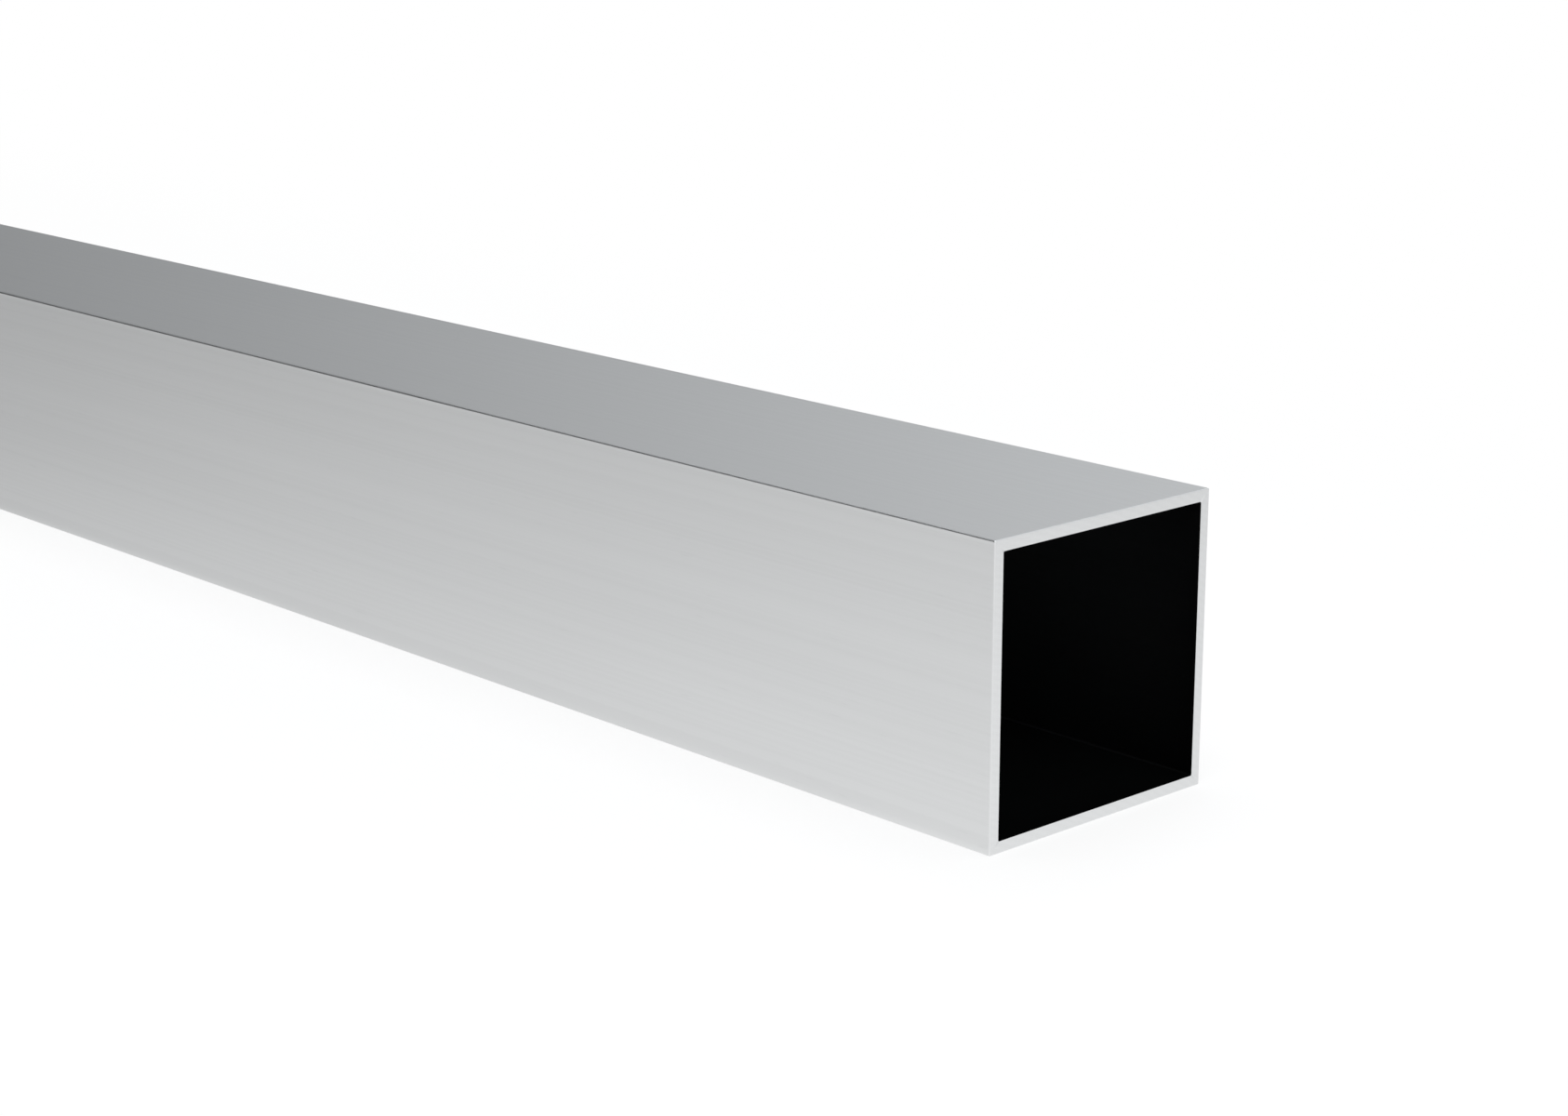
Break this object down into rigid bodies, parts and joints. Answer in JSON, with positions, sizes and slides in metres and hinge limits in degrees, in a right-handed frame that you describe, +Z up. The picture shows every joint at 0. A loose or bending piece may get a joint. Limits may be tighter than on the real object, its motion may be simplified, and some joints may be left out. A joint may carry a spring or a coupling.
{
  "type": "square metal tube",
  "caption": "Square hollow section in bare metal, with thin even walls, nearly sharp corners and plain sawn ends, open right through.",
  "frame": {"origin": "on the flat that the tube lies on, under the middle of its length and width", "axes": "+X along the length, +Z up out of the flat that it lies on, +Y across the width"},
  "size_m": [1, 0.05, 0.05],
  "materials": {
    "metal": "mill"
  },
  "bodies": {
    "root": {"square_tube": "metal"}
  },
  "joints": []
}
